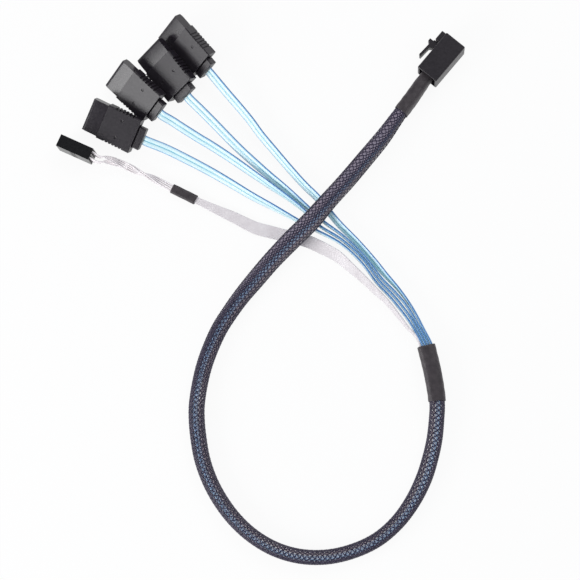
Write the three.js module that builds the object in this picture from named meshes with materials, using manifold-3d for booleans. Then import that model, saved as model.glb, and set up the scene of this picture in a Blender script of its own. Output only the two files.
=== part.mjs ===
// Mini SAS HD to four SATA breakout cable, lying on a table.
// Millimetres, +Z up, +X from the pin header towards the square plug.
// The cable is laid out in a plan frame of its own. At the end the whole model is moved so that
// its origin is under the middle of the connectors, at table height.

import * as THREE from 'three';
import { mergeVertices } from 'three/addons/utils/BufferGeometryUtils.js';
import Module from 'manifold-3d';

// Clearances
const FIT = 0.3; // between pieces that seat on each other
const SNUG = 0.14; // between the ribbons and what is shrunk or braided round them

// Square plug: mouth towards +X of its own frame, latch on +Y, standing on the table
const HD_LENGTH = 18.2;
const HD_WIDTH = 9.6;
const HD_HEIGHT = 11.5;
const HD_WALL = 1.0;
const HD_EDGE = 0.4;
const HD_MOUTH_DEPTH = 13;
const HD_RAIL_START = 0.1;
const HD_RAIL_LENGTH = 4.4;
const HD_RAIL_OUT = 2.1;
const HD_RAIL_WIDTH = 7.4;
const HD_CHANNEL_DEPTH = 0.5;
const HD_RECESS_DEPTH = 3.4; // open hollow round the cable at the rear
const HD_RECESS_WALL = 0.85;
const HD_X = 61.17;
const HD_Y = 92.71;
const HD_HEADING = 49.9;

// Paddle cards in the mouth and the holder behind them
const CARD_THICKNESS = 0.8;
const CARD_HEIGHT = 8.4;
const CARD_PITCH = 3.2;
const CARD_RECESS = 1.0;
const HOLDER_LENGTH = 4.6;
const CARD_GRIP = 3.4; // length of a card inside the holder

// Latch lever, measured back from the plug's front face and out from its side
const LATCH_ROOT = 4.8;
const LATCH_ROOT_OUT = 2.4;
const LATCH_HOOK = 5.3;
const LATCH_HOOK_LENGTH = 1.9;
const LATCH_HOOK_SLOPE = 0.6;
const LATCH_HOOK_OUT = 4.1;
const LATCH_ARM_OUT = 3.0;
const LATCH_ARM_THICKNESS = 0.95;
const LATCH_ARM_RISE = 0.35; // how much further out the arm is at its tip
const LATCH_BEND = 8.6; // behind it the arm is free of the root
const LATCH_TIP = 13.6;
const LATCH_TIP_EDGE = 0.45;
const LATCH_WIDTH = 4.6;

// Blue data ribbons, white sideband ribbon and its wires
const RIBBON_WIDTH = 4.0;
const RIBBON_THICKNESS = 1.05;
const RIBBON_WAIST = 0.6;
const SIDEBAND_WIDTH = 3.6;
const SIDEBAND_THICKNESS = 0.75;
const SIDEBAND_EDGE = 0.36;
const WIRE_DIAMETER = 0.62;
const WIRE_PITCH = 0.8;
const WIRE_STEPS = 12;
const WIRE_TWIST = 270;

// Braided sleeve and the heat-shrink tubes
const SLEEVE_WALL = 0.3;
const SLEEVE_HALF_HEIGHT = 2.95;
const SLEEVE_ROUND = 1.55;
const SHRINK_WALL = 0.3;
const NECK_INSET = 1.5; // how far the neck tube reaches into the plug's recess
const NECK_LENGTH = 19.2;
const NECK_STEPS = 3;
const NECK_NARROW = 0.89; // at the plug, against the full tube
const NECK_FLAT = [0.76, 0.84, 0.85, 0.88, 0.95]; // at the plug, then station by station
const TRUNK_STEP = 7.4;
const TRUNK_LEAD = 1.5; // straight run of the bundle behind the plug
const COLLAR_STEPS = 3;
const BRANCH_STEP = 8;
const RIBBON_LEAD = 1.2; // straight run of a ribbon behind its strain relief
const WIRE_LEAD = 3; // straight run of the wires behind the header
const WIRE_SPREAD_FROM = 0.62; // share of the wires' way from which they open to the pin pitch
const WIRE_SIDES = 8;
const SPLIT_HALF_WIDTH = 1.95;
const SPLIT_HALF_HEIGHT = 1.25;
const SPLIT_ROUND = 0.6;
const SPLIT_FOLD = 0.8; // width of the folded ribbon against its width in the trunk
const SPLIT_ENTRY = 3.5; // how far the ribbon and the wires reach into the split tube

// SATA plugs: nose towards +X of their own frame, which starts at the step behind the nose
const SATA_COUNT = 4;
const NOSE_LENGTH = 6.8;
const NOSE_WIDTH = 13.66;
const NOSE_THICKNESS = 4.23;
const NOSE_TIP_THICKNESS = 3.3;
const NOSE_TAPER = 1.2;
const BODY_LENGTH = 14.75;
const BODY_WIDTH = 14.67;
const BODY_THICKNESS = 5.28;
const BODY_EDGE = 0.35;
const SLOT_WIDTH = 10.4;
const SLOT_HEIGHT = 1.6;
const SLOT_DEPTH = 8.6;
const KEY_WIDTH = 1.7;
const KEY_HEIGHT = 1.1;
const POCKET_HEIGHT = 3.0;
const RELIEF_LENGTH = 2.83;
const RELIEF_WIDTH = 9.35;
const RELIEF_THICKNESS = 3.65;
const TONGUE_LENGTH = 3.2;
const TONGUE_WIDTH = 8.6;
const GRIP_COUNT = 6;
const GRIP_PITCH = 1.5;
const GRIP_WIDTH = 0.6;
const GRIP_DEPTH = 0.5;
const GRIP_START = 3.4;
const MARK_RADIUS = 0.55;
const MARK_DEPTH = 0.25;
const MARK_SIDES = 10;
const FINGER_COUNT = 7;
const FINGER_PITCH = 1.27;
const FINGER_WIDTH = 0.7;
const FINGER_THICKNESS = 0.35;
const FINGER_LENGTH = 6.6;

// Pin header socket, two by four, standing on its narrow side
const PIN_PITCH = 2.54;
const PIN_ROWS = 4;
const PIN_COLUMNS = 2;
const HEADER_LENGTH = 14.5;
const CAVITY = 1.8;
const TERMINAL_SIZE = 1.2;
const TERMINAL_BORE = 0.7;
const TERMINAL_BORE_DEPTH = 5;
const TERMINAL_FRONT = 1.2; // behind the header's front face
const TERMINAL_LENGTH = 9.2;
const WINDOW_LENGTH = 2.4;
const WINDOW_WIDTH = 1.2;
const WINDOW_BACK = 8.4;
const HEADER_X = -86.43;
const HEADER_Y = 57.76;
const HEADER_HEADING = 155.3;

// Where each SATA plug lies: plan position, heading, roll of its right edge off the table
const SATA_PLACES = [
  { x: -43.28, y: 104.16, heading: 130.4, roll: 41.3 },
  { x: -51.63, y: 94.18, heading: 128.1, roll: 30.0 },
  { x: -64.61, y: 85.69, heading: 136.3, roll: 33.1 },
  { x: -74.85, y: 70.45, heading: 153.2, roll: 21.5 },
];

// Route of the sleeved trunk from the square plug to the collar's end.
// Each row is x, y, z, roll of the flat bundle in degrees, and how wide the sleeve is squeezed.
const TRUNK_ROUTE = [
  [51.5, 80.6, 5.8, -88, 1],
  [48.9, 76.8, 6, -85, 1],
  [44.2, 70.5, 6.2, -81, 0.96],
  [37.6, 61.2, 6.6, -75, 1.03],
  [30.1, 52.0, 7, -68, 1.06],
  [23.1, 43.6, 7.4, -62, 1.06],
  [16.0, 35.7, 7.6, -57, 1.06],
  [8.6, 27.2, 7.5, -51, 1.16],
  [0.5, 19.3, 6.8, -45, 1.15],
  [-7.1, 11.6, 5.6, -39, 1.1],
  [-13.9, 3.9, 4.5, -34, 1.08],
  [-19.5, -2.8, 4.1, -29, 1.02],
  [-24.5, -9.7, 3.6, -24, 1],
  [-28.8, -16.7, 3.4, -20, 1],
  [-34.3, -30.6, 3.3, -12, 1],
  [-37.0, -44.8, 3.3, -5, 1],
  [-37.1, -51.8, 3.3, -2, 1],
  [-36.3, -59.7, 3.15, 0, 1],
  [-34.8, -67.6, 3.15, 0, 0.99],
  [-31.7, -76.2, 3.2, 0, 0.97],
  [-27.4, -84.0, 3.25, 0, 0.96],
  [-22.0, -91.1, 3.3, 0, 0.94],
  [-15.1, -97.5, 3.35, 0, 0.92],
  [-6.2, -102.8, 3.4, 0, 0.92],
  [3.5, -105.7, 3.4, 0, 0.92],
  [14.0, -106.1, 3.4, 0, 0.92],
  [24.4, -103.9, 3.4, 0, 0.91],
  [34.2, -99.4, 3.4, 0, 0.91],
  [42.2, -92.6, 3.35, 0, 0.93],
  [48.3, -84.4, 3.25, 0, 0.98],
  [52.7, -75.7, 3.2, 0, 1.02],
  [55.2, -68.2, 3.2, 0, 1.01],
  [57.1, -60.1, 3.25, 0, 0.99],
  [58.0, -52.3, 3.35, 0, 0.96],
  [58.3, -45.4, 3.55, 0, 0.96],
  [56.8, -34.4, 3.65, 0, 0.98],
  [54.2, -23.0, 3.65, 0, 1],
];

// Routes of the blue ribbons from the collar to their plugs: x, y, z, roll
const RIBBON_ROUTES = [
  [
    [53.1, -15.8, 3.0, -90],
    [50.8, -11.1, 2.6, -90],
    [47.8, -6.0, 2.3, -86],
    [43.4, 0.0, 2.25, -78],
    [37.5, 6.7, 2.1, -64],
    [33.4, 11.8, 2.1, -60],
    [27.2, 19.0, 2.1, -60],
    [19.3, 27.2, 2.1, -56],
    [11.0, 37.5, 2.1, -52],
    [5.8, 42.7, 2.2, -50],
    [-0.3, 49.6, 2.5, -49],
    [-6.5, 57.0, 2.8, -47],
    [-11.9, 63.5, 3.3, -45],
    [-15.8, 68.9, 3.9, -44],
    [-19.9, 73.9, 4.6, -43],
    [-25.9, 80.9, 5.6, -42],
  ],
  [
    [51.9, -16.0, 2.9, -90],
    [49.6, -11.6, 2.5, -90],
    [46.2, -6.1, 2.3, -90],
    [41.9, -1.0, 2.3, -90],
    [36.8, 4.3, 2.3, -90],
    [30.0, 13.3, 2.3, -90],
    [21.8, 21.4, 2.3, -90],
    [13.2, 27.9, 2.3, -84],
    [7.2, 33.4, 2.3, -74],
    [-1.8, 41.3, 2.3, -58],
    [-8.0, 46.4, 2.4, -48],
    [-13.6, 51.3, 2.7, -41],
    [-19.8, 57.0, 3.1, -36],
    [-24.3, 61.5, 3.6, -33],
    [-29.8, 67.2, 4.4, -31],
    [-35.4, 72.9, 5.2, -30],
  ],
  [
    [50.8, -16.3, 2.9, -90],
    [48.4, -11.9, 2.5, -90],
    [44.9, -6.9, 2.3, -90],
    [40.9, -2.0, 2.3, -90],
    [35.9, 3.3, 2.3, -90],
    [29.2, 12.4, 2.3, -90],
    [21.0, 20.1, 2.3, -90],
    [11.6, 26.2, 2.3, -88],
    [6.1, 31.9, 2.3, -82],
    [-0.8, 37.5, 2.3, -72],
    [-8.0, 42.6, 2.3, -61],
    [-13.7, 46.7, 2.3, -53],
    [-24.0, 54.0, 2.7, -42],
    [-32.2, 59.4, 3.3, -37],
    [-36.4, 61.9, 3.7, -35],
    [-43.6, 66.4, 4.8, -33],
    [-47.8, 69.1, 5.4, -33],
  ],
  [
    [49.7, -16.7, 2.9, -90],
    [47.2, -12.5, 2.5, -90],
    [43.7, -7.7, 2.3, -90],
    [39.8, -2.9, 2.3, -90],
    [34.9, 2.4, 2.3, -90],
    [28.3, 11.3, 2.3, -90],
    [20.2, 18.8, 2.3, -90],
    [10.0, 24.4, 2.3, -86],
    [2.6, 28.5, 2.3, -78],
    [-5.9, 33.3, 2.2, -65],
    [-15.7, 38.7, 2.1, -52],
    [-24.0, 43.8, 2.1, -43],
    [-32.3, 48.7, 2.2, -35],
    [-43.7, 54.7, 3.1, -26],
    [-50.4, 57.9, 3.9, -22],
  ],
];

// Route of the white ribbon from the collar to the split tube: x, y, z, roll, widening
const SIDEBAND_ROUTE = [
  [50.2, -19.2, 3.2, -88, 1],
  [47.0, -15.6, 2.8, -80, 1],
  [42.4, -9.6, 2.6, -72, 1],
  [38.6, -4.9, 2.5, -67, 1.1],
  [34.2, -0.6, 2.5, -62, 1.25],
  [29.0, 4.6, 2.5, -56, 1.3],
  [24.0, 9.2, 2.3, -46, 1.36],
  [19.3, 13.4, 1.9, -33, 1.42],
  [13.2, 17.0, 1.4, -20, 1.42],
  [6.3, 20.2, 1.0, -10, 1.42],
  [-2.9, 22.6, 0.8, -3, 1.42],
  [-8.2, 24.0, 0.8, 0, 1.42],
  [-14.2, 25.7, 0.9, 0, 1.42],
  [-23.0, 30.1, 1.1, 0, 1.25],
  [-30.0, 33.3, 1.2, 0, 1.02],
  [-34.4, 35.4, 1.3, 0, 0.86],
];

// Ends of the split tube, and the route of the wires from it to the header socket
const SPLIT_START = [-38.2, 37.2, 1.35];
const SPLIT_END = [-47.7, 42.0, 1.45];
const WIRE_ROUTE = [
  [-52.8, 44.7, 1.7],
  [-56.8, 46.8, 1.9],
  [-62.9, 49.5, 2.3],
  [-69.0, 52.2, 3.4],
  [-74.9, 53.6, 4.6],
];

// Finishes
const PLASTIC = { color: 0x2c292f, roughness: 0.45, metalness: 0 };
const SHRINK = { color: 0x3b373d, roughness: 0.6, metalness: 0 };
const BRAID = { color: 0x3a363e, roughness: 0.7, metalness: 0 };
const BLUE = { color: 0x8ecdf2, roughness: 0.3, metalness: 0.1 };
const WHITE = { color: 0xeeeaec, roughness: 0.5, metalness: 0 };
const BOARD = { color: 0x1f5a36, roughness: 0.4, metalness: 0 };
const METAL = { color: 0xc9a24a, roughness: 0.3, metalness: 1 };

const AXIS_X = new THREE.Vector3(1, 0, 0);
const AXIS_Y = new THREE.Vector3(0, 1, 0);
const UP = new THREE.Vector3(0, 0, 1);
const radians = THREE.MathUtils.degToRad;

const wasm = await Module();
wasm.setup();

// Closed geometry to solid and back

function toSolid(geometry) {
  const bare = geometry.clone();
  bare.deleteAttribute('normal');
  bare.deleteAttribute('uv');
  const merged = mergeVertices(bare, 1e-4);
  return new wasm.Manifold(new wasm.Mesh({
    numProp: 3,
    vertProperties: new Float32Array(merged.attributes.position.array),
    triVerts: new Uint32Array(merged.index.array),
  }));
}

function toGeometry(solid) {
  const mesh = solid.getMesh();
  const geometry = new THREE.BufferGeometry();
  geometry.setAttribute('position', new THREE.BufferAttribute(mesh.vertProperties, 3));
  geometry.setIndex(new THREE.BufferAttribute(mesh.triVerts, 1));
  geometry.computeVertexNormals();
  return geometry;
}

function join(base, ...others) {
  return others.reduce((sum, other) => sum.add(toSolid(other)), toSolid(base));
}

function cut(solid, tools) {
  return tools.reduce((rest, tool) => rest.subtract(toSolid(tool)), solid);
}

// Basic shapes

function box(x0, x1, y0, y1, z0, z1) {
  const geometry = new THREE.BoxGeometry(x1 - x0, y1 - y0, z1 - z0);
  return geometry.translate((x0 + x1) / 2, (y0 + y1) / 2, (z0 + z1) / 2);
}

function extruded(outline, length) {
  const shape = new THREE.Shape(outline.map(([a, b]) => new THREE.Vector2(a, b)));
  return new THREE.ExtrudeGeometry(shape, { depth: length, bevelEnabled: false });
}

// Outline in y and z, drawn along x
function alongX(outline, x0, x1) {
  const basis = new THREE.Matrix4().makeBasis(AXIS_Y, UP, AXIS_X);
  return extruded(outline, x1 - x0).applyMatrix4(basis).translate(x0, 0, 0);
}

// Outline in x and z, drawn along y
function alongY(outline, y0, y1) {
  const basis = new THREE.Matrix4().makeBasis(AXIS_X, UP, AXIS_Y.clone().negate());
  return extruded(outline, y1 - y0).applyMatrix4(basis).translate(0, y1, 0);
}

// Outline in x and y, drawn along z
function alongZ(outline, z0, z1) {
  return extruded(outline, z1 - z0).translate(0, 0, z0);
}

function bevelledRectangle(width, height, edge, middle = 0) {
  const w = width / 2;
  const h = height / 2;
  const corners = [
    [w, h - edge], [w - edge, h], [edge - w, h], [-w, h - edge],
    [-w, edge - h], [edge - w, -h], [w - edge, -h], [w, edge - h],
  ];
  return corners.map(([a, b]) => [a, b + middle]);
}

// Rounded rectangle with three points at each corner
function roundedRectangle(halfWidth, halfHeight, radius) {
  const points = [];
  for (let corner = 0; corner < 4; corner += 1) {
    const sideX = corner === 0 || corner === 3 ? 1 : -1;
    const sideY = corner < 2 ? 1 : -1;
    for (let step = 0; step < 3; step += 1) {
      const angle = (corner + step / 2) * Math.PI / 2;
      points.push([
        sideX * (halfWidth - radius) + radius * Math.cos(angle),
        sideY * (halfHeight - radius) + radius * Math.sin(angle),
      ]);
    }
  }
  return points;
}

// Two round lobes side by side with a waist between them
function twoLobes(width, thickness, waist) {
  const half = [
    [width / 2, 0], [width / 4, thickness / 2], [0, waist / 2], [-width / 4, thickness / 2],
  ];
  return [...half, ...half.map(([a, b]) => [-a, -b])];
}

function circle(radius, sides) {
  return Array.from({ length: sides }, (unused, i) => {
    const angle = i * 2 * Math.PI / sides;
    return [radius * Math.cos(angle), radius * Math.sin(angle)];
  });
}

// Sweeps a section through stations. A station is a point and two vectors, already scaled, that
// carry the section's first and second coordinate.
function sweep(section, stations, hole = null) {
  const shape = new THREE.Shape(section.map(([a, b]) => new THREE.Vector2(a, b)));
  if (hole) {
    shape.holes.push(new THREE.Path(hole.map(([a, b]) => new THREE.Vector2(a, b))));
  }
  const steps = stations.length - 1;
  const geometry = new THREE.ExtrudeGeometry(shape, { depth: steps, steps, bevelEnabled: false });
  const position = geometry.attributes.position;
  for (let i = 0; i < position.count; i += 1) {
    const station = stations[Math.round(position.getZ(i))];
    const moved = station.point.clone()
      .addScaledVector(station.across, position.getX(i))
      .addScaledVector(station.normal, position.getY(i));
    position.setXYZ(i, moved.x, moved.y, moved.z);
  }
  geometry.deleteAttribute('normal');
  geometry.deleteAttribute('uv');
  const merged = mergeVertices(geometry, 1e-4);
  merged.computeVertexNormals();
  return merged;
}

// A smooth route whose rows may carry two more values, such as roll and width
class Route {
  constructor(rows) {
    this.path = new THREE.CatmullRomCurve3(rows.map((row) => new THREE.Vector3(...row.slice(0, 3))));
    this.traits = new THREE.CatmullRomCurve3(
      rows.map((row) => new THREE.Vector3(row[3] ?? 0, row[4] ?? 1, 0)),
      false,
      'catmullrom',
    );
    this.path.arcLengthDivisions = 40 * rows.length;
    this.length = this.path.getLength();
  }

  // Place, level side direction, upright direction and traits at a distance from the start
  at(distance) {
    const share = THREE.MathUtils.clamp(distance / this.length, 0, 1);
    const tangent = this.path.getTangentAt(share);
    const side = UP.clone().cross(tangent).normalize();
    const rise = tangent.clone().cross(side);
    const traits = this.traits.getPoint(this.path.getUtoTmapping(share));
    return { point: this.path.getPointAt(share), side, rise, roll: traits.x, wide: traits.y };
  }
}

// Stations of a flat ribbon: the roll turns its width about the route, 0 is flat on the table
function ribbonStation(place) {
  const roll = radians(place.roll);
  const across = place.side.clone().multiplyScalar(Math.cos(roll))
    .addScaledVector(place.rise, Math.sin(roll));
  const normal = place.side.clone().multiplyScalar(-Math.sin(roll))
    .addScaledVector(place.rise, Math.cos(roll));
  across.multiplyScalar(place.wide);
  normal.divideScalar(place.wide);
  return { point: place.point, across, normal };
}

// Scene graph helpers

const cable = new THREE.Group();
const connectors = [];

function addMesh(parent, name, geometry, finish) {
  const mesh = new THREE.Mesh(geometry, new THREE.MeshStandardMaterial(finish));
  mesh.name = name;
  parent.add(mesh);
  return mesh;
}

function addConnector(parent, name, geometry, finish) {
  connectors.push(addMesh(parent, name, geometry, finish));
}

// Square plug

const hdPlug = new THREE.Group();
hdPlug.position.set(HD_X, HD_Y, 0);
hdPlug.rotation.z = radians(HD_HEADING);
cable.add(hdPlug);

const HD_FRONT = HD_LENGTH / 2;
const HD_SIDE = HD_WIDTH / 2;
const HD_MIDDLE = HD_HEIGHT / 2;
const MOUTH_BACK = HD_FRONT - HD_MOUTH_DEPTH;
const HOLDER_BACK = MOUTH_BACK + FIT;
const HOLDER_FRONT = HOLDER_BACK + HOLDER_LENGTH;

const BUNDLE_HALF_WIDTH = (4 * (RIBBON_THICKNESS + SNUG) + SIDEBAND_THICKNESS) / 2;
const SLEEVE_HALF_WIDTH = BUNDLE_HALF_WIDTH + SNUG + SLEEVE_WALL;
const TUBE_HALF_WIDTH = SLEEVE_HALF_WIDTH + SNUG + SHRINK_WALL;
const TUBE_HALF_HEIGHT = SLEEVE_HALF_HEIGHT + SNUG + SHRINK_WALL;
const PASSAGE_WIDTH = 2 * (TUBE_HALF_HEIGHT * NECK_FLAT[0] + FIT);
const PASSAGE_HEIGHT = 2 * (TUBE_HALF_WIDTH * NECK_NARROW + FIT);

function hdHousing() {
  const innerSide = HD_SIDE - HD_WALL;
  const body = alongX(bevelledRectangle(HD_WIDTH, HD_HEIGHT, HD_EDGE, HD_MIDDLE), -HD_FRONT, HD_FRONT);
  const railFront = HD_FRONT - HD_RAIL_START;
  const rail = box(
    railFront - HD_RAIL_LENGTH, railFront,
    HD_SIDE - HD_EDGE, HD_SIDE + HD_RAIL_OUT,
    HD_MIDDLE - HD_RAIL_WIDTH / 2, HD_MIDDLE + HD_RAIL_WIDTH / 2,
  );
  const mouth = box(MOUTH_BACK, HD_FRONT + 1, -innerSide, innerSide, HD_WALL, HD_HEIGHT - HD_WALL);
  const passage = box(
    -HD_FRONT, MOUTH_BACK + 1,
    -PASSAGE_WIDTH / 2, PASSAGE_WIDTH / 2,
    HD_MIDDLE - PASSAGE_HEIGHT / 2, HD_MIDDLE + PASSAGE_HEIGHT / 2,
  );
  const recessSide = HD_SIDE - HD_RECESS_WALL;
  const recess = box(
    -HD_FRONT - 1, HD_RECESS_DEPTH - HD_FRONT,
    -recessSide, recessSide,
    HD_RECESS_WALL, HD_HEIGHT - HD_RECESS_WALL,
  );
  const channelHalf = LATCH_WIDTH / 2 + FIT;
  const channel = box(
    HD_FRONT - LATCH_TIP - FIT, HD_FRONT - LATCH_HOOK + FIT,
    HD_SIDE - HD_CHANNEL_DEPTH, HD_SIDE + 1,
    HD_MIDDLE - channelHalf, HD_MIDDLE + channelHalf,
  );
  return toGeometry(cut(join(body, rail), [mouth, passage, recess, channel]));
}

function cardMiddles() {
  return [CARD_PITCH / 2, -CARD_PITCH / 2];
}

function cardHolder() {
  const halfWidth = HD_SIDE - HD_WALL - FIT;
  const block = box(
    HOLDER_BACK, HOLDER_FRONT, -halfWidth, halfWidth, HD_WALL + FIT, HD_HEIGHT - HD_WALL - FIT,
  );
  const halfSlot = CARD_THICKNESS / 2 + FIT;
  const halfHeight = CARD_HEIGHT / 2 + FIT;
  const slots = cardMiddles().map((middle) => box(
    HOLDER_FRONT - CARD_GRIP - FIT, HOLDER_FRONT + 1,
    middle - halfSlot, middle + halfSlot,
    HD_MIDDLE - halfHeight, HD_MIDDLE + halfHeight,
  ));
  return toGeometry(cut(toSolid(block), slots));
}

function paddleCard(middle) {
  return box(
    HOLDER_FRONT - CARD_GRIP, HD_FRONT - CARD_RECESS,
    middle - CARD_THICKNESS / 2, middle + CARD_THICKNESS / 2,
    HD_MIDDLE - CARD_HEIGHT / 2, HD_MIDDLE + CARD_HEIGHT / 2,
  );
}

function latchLever() {
  const hookBack = LATCH_HOOK + LATCH_HOOK_LENGTH;
  const tipOut = LATCH_ARM_OUT + LATCH_ARM_RISE;
  const profile = [
    [LATCH_ROOT, FIT],
    [LATCH_ROOT, LATCH_ROOT_OUT],
    [LATCH_HOOK, LATCH_ROOT_OUT],
    [LATCH_HOOK, LATCH_HOOK_OUT],
    [hookBack - LATCH_HOOK_SLOPE, LATCH_HOOK_OUT],
    [hookBack, LATCH_ARM_OUT],
    [LATCH_TIP - LATCH_TIP_EDGE, tipOut],
    [LATCH_TIP, tipOut - LATCH_TIP_EDGE],
    [LATCH_TIP, tipOut - LATCH_ARM_THICKNESS],
    [LATCH_BEND, LATCH_ARM_OUT - LATCH_ARM_THICKNESS],
    [hookBack, FIT],
  ];
  const outline = profile.map(([back, out]) => [HD_FRONT - back, HD_SIDE + out]);
  return alongZ(outline, HD_MIDDLE - LATCH_WIDTH / 2, HD_MIDDLE + LATCH_WIDTH / 2);
}

addConnector(hdPlug, 'hd_housing', hdHousing(), PLASTIC);
addConnector(hdPlug, 'hd_card_holder', cardHolder(), PLASTIC);
cardMiddles().forEach((middle, i) => {
  addConnector(hdPlug, `hd_paddle_card_${i + 1}`, paddleCard(middle), BOARD);
});
addConnector(hdPlug, 'hd_latch_lever', latchLever(), PLASTIC);

// SATA plugs

const RELIEF_BACK = -BODY_LENGTH - FIT - RELIEF_LENGTH;
const SATA_MIDDLE = BODY_THICKNESS / 2;
const SLOT_BACK = NOSE_LENGTH - SLOT_DEPTH;

function sataHousing() {
  const noseHalf = NOSE_THICKNESS / 2;
  const tipHalf = NOSE_TIP_THICKNESS / 2;
  const taperStart = NOSE_LENGTH - NOSE_TAPER;
  const noseSide = [
    [-1, -noseHalf], [taperStart, -noseHalf], [NOSE_LENGTH, -tipHalf],
    [NOSE_LENGTH, tipHalf], [taperStart, noseHalf], [-1, noseHalf],
  ].map(([x, z]) => [x, z + SATA_MIDDLE]);
  const nose = alongY(noseSide, -NOSE_WIDTH / 2, NOSE_WIDTH / 2);
  const bodyEnd = bevelledRectangle(BODY_WIDTH, BODY_THICKNESS, BODY_EDGE, SATA_MIDDLE);
  const body = alongX(bodyEnd, -BODY_LENGTH, 0);

  const slotLow = SATA_MIDDLE - SLOT_HEIGHT / 2;
  const slotTop = slotLow + SLOT_HEIGHT;
  const slotSide = SLOT_WIDTH / 2;
  const slot = box(SLOT_BACK - 1, NOSE_LENGTH + 1, -slotSide, slotSide, slotLow, slotTop);
  const key = box(
    SLOT_BACK, NOSE_LENGTH + 1, slotSide - KEY_WIDTH, slotSide, slotLow - KEY_HEIGHT, slotTop,
  );
  const pocket = box(
    -BODY_LENGTH - 1, SLOT_BACK, -slotSide, slotSide,
    SATA_MIDDLE - POCKET_HEIGHT / 2, SATA_MIDDLE + POCKET_HEIGHT / 2,
  );
  const cuts = [slot, key, pocket];

  const edge = BODY_WIDTH / 2;
  for (let i = 0; i < GRIP_COUNT; i += 1) {
    const x = -GRIP_START - i * GRIP_PITCH;
    cuts.push(box(x - GRIP_WIDTH, x, edge - GRIP_DEPTH, edge + 1, -1, BODY_THICKNESS + 1));
    cuts.push(box(x - GRIP_WIDTH, x, -edge - 1, GRIP_DEPTH - edge, -1, BODY_THICKNESS + 1));
  }
  for (const side of [-1, 1]) {
    const mark = alongZ(circle(MARK_RADIUS, MARK_SIDES), BODY_THICKNESS - MARK_DEPTH, BODY_THICKNESS + 1);
    cuts.push(mark.translate(-BODY_LENGTH / 2, side * BODY_WIDTH / 4, 0));
  }
  return toGeometry(cut(join(body, nose), cuts));
}

function contactWafer() {
  const front = SLOT_BACK - FIT;
  const back = TONGUE_LENGTH - BODY_LENGTH + FIT;
  const halfWidth = SLOT_WIDTH / 2 - FIT;
  const halfHeight = POCKET_HEIGHT / 2 - FIT;
  const fingerLow = SATA_MIDDLE - SLOT_HEIGHT / 2 + FIT;
  const block = box(back, front, -halfWidth, halfWidth, SATA_MIDDLE - halfHeight, SATA_MIDDLE + halfHeight);
  const fingers = Array.from({ length: FINGER_COUNT }, (unused, i) => {
    const y = (i - (FINGER_COUNT - 1) / 2) * FINGER_PITCH;
    return box(
      front - 1, front + FINGER_LENGTH, y - FINGER_WIDTH / 2, y + FINGER_WIDTH / 2,
      fingerLow, fingerLow + FINGER_THICKNESS,
    );
  });
  return toGeometry(join(block, ...fingers));
}

function strainRelief() {
  const tongueHalf = POCKET_HEIGHT / 2 - FIT;
  const backPlate = alongX(
    bevelledRectangle(RELIEF_WIDTH, RELIEF_THICKNESS, BODY_EDGE, SATA_MIDDLE),
    RELIEF_BACK, RELIEF_BACK + RELIEF_LENGTH,
  );
  const tongue = box(
    RELIEF_BACK + RELIEF_LENGTH - 1, TONGUE_LENGTH - BODY_LENGTH,
    -TONGUE_WIDTH / 2, TONGUE_WIDTH / 2, SATA_MIDDLE - tongueHalf, SATA_MIDDLE + tongueHalf,
  );
  return toGeometry(join(backPlate, tongue));
}

const sataPlugs = SATA_PLACES.slice(0, SATA_COUNT).map((place, i) => {
  const plug = new THREE.Group();
  const lift = BODY_WIDTH / 2 * Math.sin(radians(place.roll));
  plug.position.set(place.x, place.y, lift);
  plug.rotation.set(-radians(place.roll), 0, radians(place.heading), 'ZYX');
  cable.add(plug);
  addConnector(plug, `sata_${i + 1}_housing`, sataHousing(), PLASTIC);
  addConnector(plug, `sata_${i + 1}_contact_wafer`, contactWafer(), METAL);
  addConnector(plug, `sata_${i + 1}_strain_relief`, strainRelief(), PLASTIC);
  return plug;
});

// Pin header socket

const HEADER_WIDTH = PIN_COLUMNS * PIN_PITCH;
const HEADER_HEIGHT = PIN_ROWS * PIN_PITCH;
const HEADER_FRONT = HEADER_LENGTH / 2;
const TERMINAL_BACK = HEADER_FRONT - TERMINAL_FRONT - TERMINAL_LENGTH;

const header = new THREE.Group();
header.position.set(HEADER_X, HEADER_Y, 0);
header.rotation.z = radians(HEADER_HEADING);
cable.add(header);

// Middle of each position: column across the header, row up it
function pinPlaces() {
  const places = [];
  for (let row = 0; row < PIN_ROWS; row += 1) {
    for (let column = 0; column < PIN_COLUMNS; column += 1) {
      const across = column - (PIN_COLUMNS - 1) / 2;
      const up = row - (PIN_ROWS - 1) / 2;
      places.push({ across, up, y: across * PIN_PITCH, z: HEADER_HEIGHT / 2 + up * PIN_PITCH });
    }
  }
  return places;
}

function headerHousing() {
  const block = box(-HEADER_FRONT, HEADER_FRONT, -HEADER_WIDTH / 2, HEADER_WIDTH / 2, 0, HEADER_HEIGHT);
  const half = CAVITY / 2;
  const cuts = [];
  for (const { y, z } of pinPlaces()) {
    cuts.push(box(-HEADER_FRONT - 1, HEADER_FRONT + 1, y - half, y + half, z - half, z + half));
    const outer = Math.sign(y) * (HEADER_WIDTH / 2 + 1);
    cuts.push(box(
      HEADER_FRONT - WINDOW_BACK, HEADER_FRONT - WINDOW_BACK + WINDOW_LENGTH,
      Math.min(y, outer), Math.max(y, outer), z - WINDOW_WIDTH / 2, z + WINDOW_WIDTH / 2,
    ));
  }
  return toGeometry(cut(toSolid(block), cuts));
}

function crimpTerminal(y, z) {
  const half = TERMINAL_SIZE / 2;
  const bore = TERMINAL_BORE / 2;
  const front = TERMINAL_BACK + TERMINAL_LENGTH;
  const body = box(TERMINAL_BACK, front, y - half, y + half, z - half, z + half);
  const hole = box(front - TERMINAL_BORE_DEPTH, front + 1, y - bore, y + bore, z - bore, z + bore);
  return toGeometry(cut(toSolid(body), [hole]));
}

addConnector(header, 'header_housing', headerHousing(), PLASTIC);
pinPlaces().forEach(({ y, z }, i) => {
  addConnector(header, `header_terminal_${i + 1}`, crimpTerminal(y, z), METAL);
});

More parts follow.
